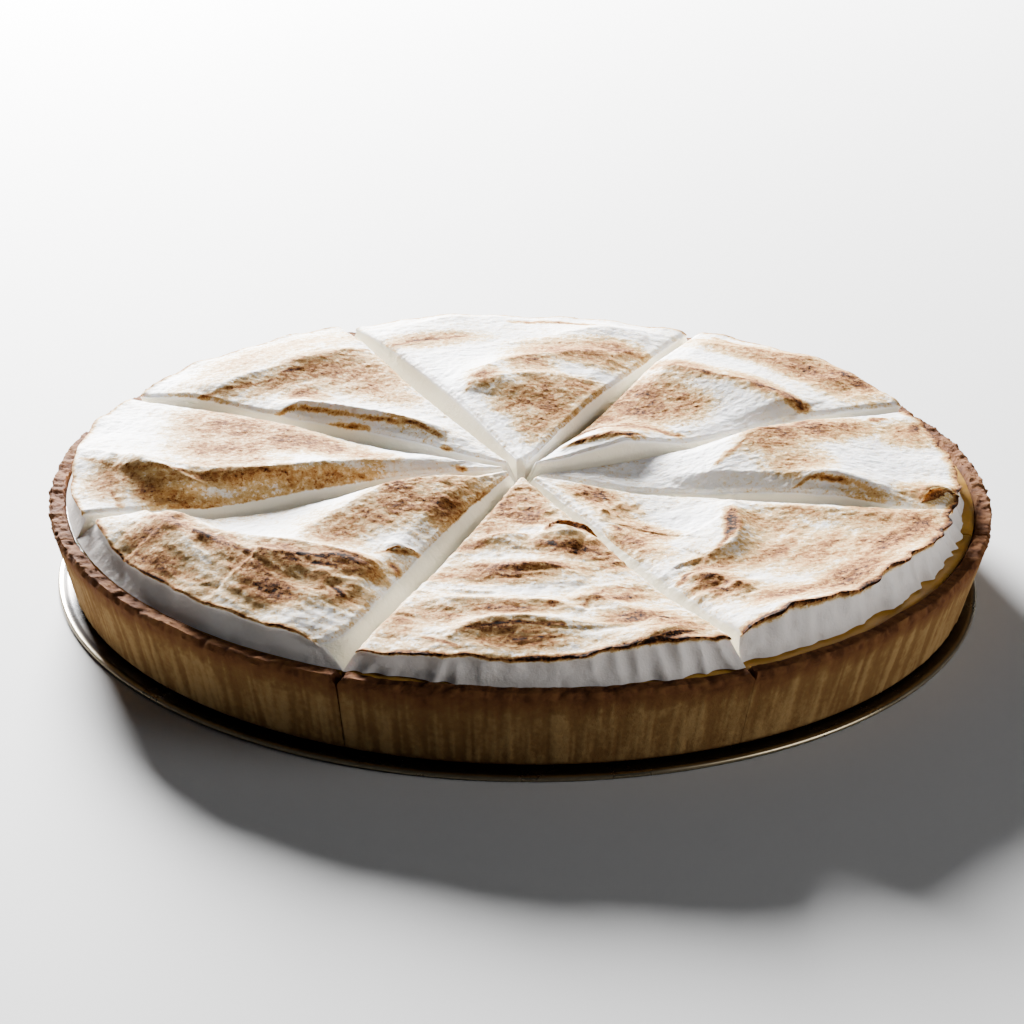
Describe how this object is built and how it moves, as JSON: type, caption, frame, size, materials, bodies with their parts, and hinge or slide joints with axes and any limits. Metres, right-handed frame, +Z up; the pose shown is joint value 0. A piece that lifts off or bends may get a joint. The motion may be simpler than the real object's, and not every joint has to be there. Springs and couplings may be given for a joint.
{
  "type": "lemon meringue tart",
  "caption": "Round lemon meringue tart in a flared shortcrust case, its torched swirled meringue cut into portions that stand together on a thin round tin base.",
  "frame": {"origin": "centre of the tart's footprint, on the surface that the tin base rests on", "axes": "+Z up; -Y points at the viewer of the picture, +X to the viewer's right"},
  "size_m": [0.28, 0.28, 0.0386],
  "materials": {
    "shortcrust": "baked shortcrust, matt, golden brown with a darker browned rim",
    "lemon_curd": "set lemon curd, glossy amber yellow",
    "torched_meringue": "soft white meringue, satin, torched tan to dark brown on its crests and edges",
    "tin_base": "thin tinned sheet, worn and slightly browned"
  },
  "bodies": {
    "root": {"tin_base": "tin_base", "crust_1": "shortcrust", "crust_2": "shortcrust", "crust_3": "shortcrust", "crust_4": "shortcrust", "crust_5": "shortcrust", "crust_6": "shortcrust", "crust_7": "shortcrust", "crust_8": "shortcrust", "filling_1": "lemon_curd", "filling_2": "lemon_curd", "filling_3": "lemon_curd", "filling_4": "lemon_curd", "filling_5": "lemon_curd", "filling_6": "lemon_curd", "filling_7": "lemon_curd", "filling_8": "lemon_curd", "meringue_1": "torched_meringue", "meringue_2": "torched_meringue", "meringue_3": "torched_meringue", "meringue_4": "torched_meringue", "meringue_5": "torched_meringue", "meringue_6": "torched_meringue", "meringue_7": "torched_meringue", "meringue_8": "torched_meringue"}
  },
  "joints": []
}
